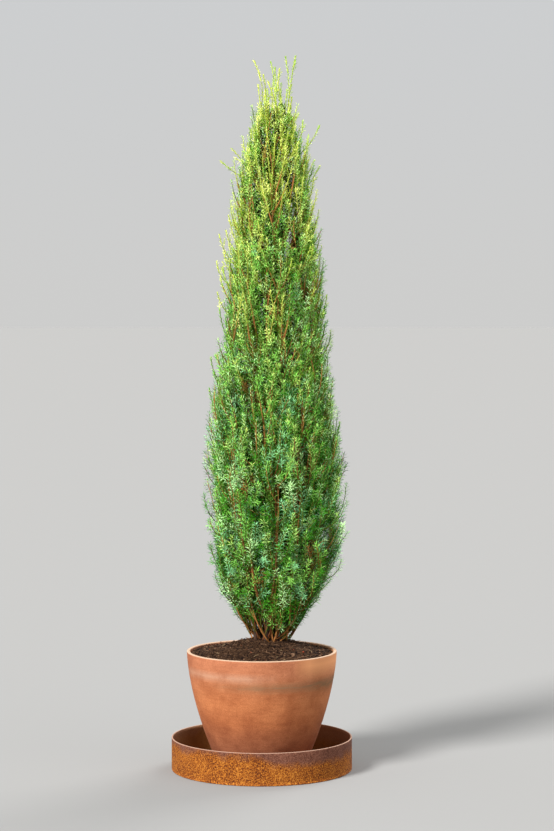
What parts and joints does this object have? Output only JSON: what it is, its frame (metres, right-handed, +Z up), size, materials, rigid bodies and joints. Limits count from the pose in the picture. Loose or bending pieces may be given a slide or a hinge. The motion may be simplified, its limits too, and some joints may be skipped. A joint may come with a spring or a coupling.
{
  "type": "potted columnar juniper",
  "caption": "Upright columnar juniper with dense short-needled shoots, in a plain round terracotta pot standing in a shallow rusted steel tray.",
  "frame": {"origin": "middle of the tray's flat underside", "axes": "+Z up along the plant, -Y towards the front of the view, +X to the right of it"},
  "size_m": [0.422, 0.422, 1.6563],
  "materials": {
    "tray": "rusted, matt",
    "pot": "unglazed, matt",
    "soil": "loose and rough",
    "bark": "rough, flaking",
    "foliage_low": "waxy needles",
    "foliage_top": "waxy needles"
  },
  "bodies": {
    "root": {"tray": "tray", "pot": "pot", "soil": "soil", "trunk": "bark", "bough_lower_1": "bark", "foliage_lower_1": "foliage_low", "bough_lower_2": "bark", "foliage_lower_2": "foliage_low", "bough_lower_3": "bark", "foliage_lower_3": "foliage_low", "bough_lower_4": "bark", "foliage_lower_4": "foliage_low", "bough_lower_5": "bark", "foliage_lower_5": "foliage_low", "bough_lower_6": "bark", "foliage_lower_6": "foliage_low", "bough_middle_1": "bark", "foliage_middle_1": "foliage_low", "bough_middle_2": "bark", "foliage_middle_2": "foliage_low", "bough_middle_3": "bark", "foliage_middle_3": "foliage_low", "bough_middle_4": "bark", "foliage_middle_4": "foliage_low", "bough_middle_5": "bark", "foliage_middle_5": "foliage_low", "bough_upper_1": "bark", "foliage_upper_1": "foliage_top", "bough_upper_2": "bark", "foliage_upper_2": "foliage_top", "bough_upper_3": "bark", "foliage_upper_3": "foliage_top", "bough_upper_4": "bark", "foliage_upper_4": "foliage_top", "foliage_top_1": "foliage_top", "foliage_top_2": "foliage_top", "foliage_top_3": "foliage_top"}
  },
  "joints": []
}
